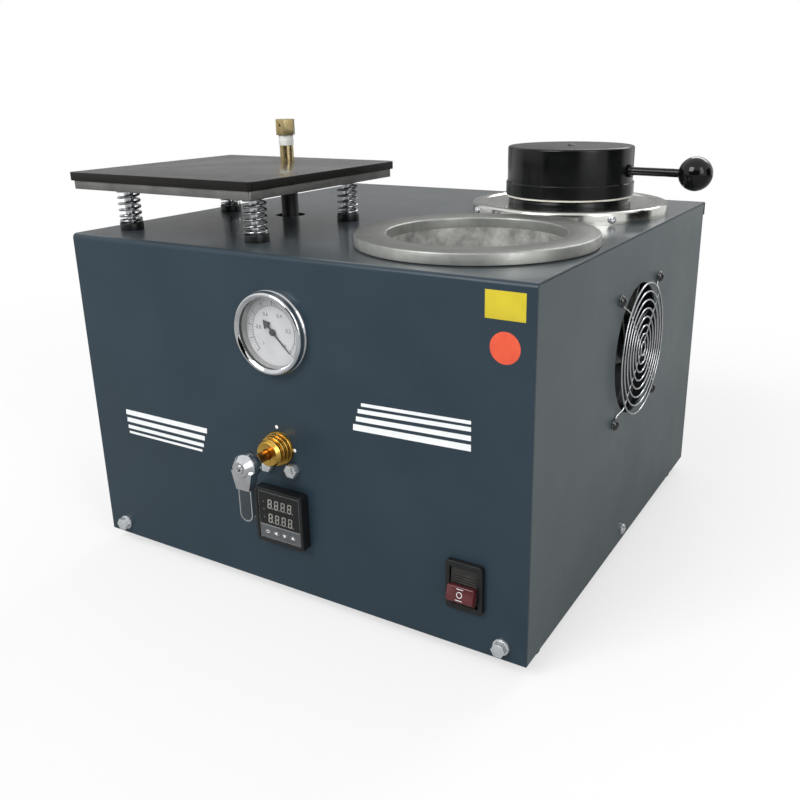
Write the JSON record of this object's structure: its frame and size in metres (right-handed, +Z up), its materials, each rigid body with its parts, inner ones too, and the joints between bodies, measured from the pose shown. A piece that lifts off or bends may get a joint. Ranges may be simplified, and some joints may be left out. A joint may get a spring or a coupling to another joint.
{
  "type": "jewelry vacuum casting machine",
  "caption": "Sheet steel cabinet with a sprung investing table, a vacuum casting well and a lidded melting furnace on top, and a gauge, lever valve, controller and rocker switch in front.",
  "frame": {"origin": "middle of the machine's outline seen from above, on the plane that its feet stand on", "axes": "+Z up; -Y out of the front panel with the gauge and valve; +X towards the side with the fan"},
  "size_m": [0.4675, 0.4906, 0.381],
  "materials": {
    "paint_front": "gloss powder coat",
    "paint_side": "satin powder coat",
    "rubber": "matte",
    "plated_steel": "zinc plated",
    "chrome": "polished",
    "stainless": "brushed",
    "aluminium": "turned",
    "black_steel": "satin black",
    "spring_steel": "bright wire",
    "brass": "bare",
    "copper": "bare copper",
    "fibre": "matte ceramic fibre",
    "graphite": "dry graphite",
    "resistance_wire": "oxidised",
    "black_plastic": "moulded",
    "key_plastic": "moulded",
    "window_plastic": "smoked window",
    "red_plastic": "translucent",
    "phenolic": "polished",
    "glass": "clear",
    "dial_enamel": "flat white",
    "pump_paint": "hammered enamel",
    "cast_aluminium": "cast"
  },
  "bodies": {
    "case": {"front_top_cover": "paint_front", "left_side_panel": "paint_side", "right_side_panel": "paint_side", "back_panel": "paint_front", "base_tray": "paint_front", "rubber_feet": "rubber", "pan_screws": "plated_steel", "hex_bolts": "plated_steel", "table_springs": "spring_steel", "spring_seats": "black_plastic", "table_hose": "rubber", "chamber_flange": "aluminium", "chamber_gasket": "rubber", "chamber_pot": "cast_aluminium", "vacuum_lines": "copper", "furnace_flange": "stainless", "furnace_collar": "black_steel", "furnace_can": "stainless", "furnace_lining": "fibre", "heating_coil": "resistance_wire", "crucible": "graphite", "thermocouple": "stainless", "gauge_case": "black_steel", "gauge_bezel": "chrome", "gauge_glass": "glass", "gauge_dial": "dial_enamel", "gauge_tube": "brass", "valve_body": "brass", "valve_bonnet": "brass", "controller_case": "black_plastic", "controller_face": "window_plastic", "switch_housing": "black_plastic", "fan_guard": "chrome", "fan_frame": "black_plastic", "fan_screws": "black_steel", "pump_motor": "pump_paint", "pump_body": "cast_aluminium", "cable_gland": "black_plastic"},
    "table": {"table_plate": "aluminium", "rubber_pad": "rubber", "guide_pins": "plated_steel", "vacuum_spud": "brass", "spud_cap": "brass", "hose_clamp": "plated_steel"},
    "lid": {"lid_shell": "black_steel", "lid_lining": "fibre", "handle_rod": "black_steel", "ball_knob": "phenolic"},
    "lever": {"valve_stem": "brass", "valve_lever": "chrome", "lever_sleeve": "black_plastic", "lever_screw": "chrome"},
    "pointer": {"gauge_pointer": "black_steel"},
    "rocker": {"switch_rocker": "red_plastic"},
    "set_key": {"key_set": "key_plastic"},
    "shift_key": {"key_shift": "key_plastic"},
    "down_key": {"key_down": "key_plastic"},
    "up_key": {"key_up": "key_plastic"},
    "impeller": {"fan_impeller": "black_plastic"},
    "rotor": {"pump_rotor": "plated_steel"}
  },
  "joints": [
    {"name": "lid_lift", "type": "slide", "parent": "case", "child": "lid", "axis": [0, 0, 1], "range_m": [0, 0.13]},
    {"name": "table_slide", "type": "slide", "parent": "case", "child": "table", "axis": [0, 0, 1], "range_m": [-0.008, 0], "stiffness_N_per_m": 8000, "springref_m": 0.003, "deforming": ["table_springs", "table_hose"]},
    {"name": "valve_turn", "type": "hinge", "parent": "case", "child": "lever", "pos_m": [-0.01618, -0.2387, 0.1385], "axis": [0, -1, 0], "range_deg": [-90, 90]},
    {"name": "pointer_turn", "type": "hinge", "parent": "case", "child": "pointer", "pos_m": [-0.01518, -0.1967, 0.2335], "axis": [0, -1, 0], "range_deg": [0, 270], "stiffness_Nm_per_rad": 0.0001},
    {"name": "rocker_tip", "type": "hinge", "parent": "case", "child": "rocker", "pos_m": [0.15082, -0.1937, 0.0645], "axis": [1, 0, 0], "range_deg": [0, 18]},
    {"name": "set_press", "type": "slide", "parent": "case", "child": "set_key", "axis": [0, 1, 0], "range_m": [0, 0.0005], "stiffness_N_per_m": 400, "springref_m": -0.0002},
    {"name": "shift_press", "type": "slide", "parent": "case", "child": "shift_key", "axis": [0, 1, 0], "range_m": [0, 0.0005], "stiffness_N_per_m": 400, "springref_m": -0.0002},
    {"name": "down_press", "type": "slide", "parent": "case", "child": "down_key", "axis": [0, 1, 0], "range_m": [0, 0.0005], "stiffness_N_per_m": 400, "springref_m": -0.0002},
    {"name": "up_press", "type": "slide", "parent": "case", "child": "up_key", "axis": [0, 1, 0], "range_m": [0, 0.0005], "stiffness_N_per_m": 400, "springref_m": -0.0002},
    {"name": "fan_spin", "type": "hinge", "parent": "case", "child": "impeller", "pos_m": [0.18582, 0.0238, 0.193], "axis": [1, 0, 0], "continuous": true},
    {"name": "pump_spin", "type": "hinge", "parent": "case", "child": "rotor", "pos_m": [-0.15618, 0.1033, 0.104], "axis": [1, 0, 0], "continuous": true}
  ]
}
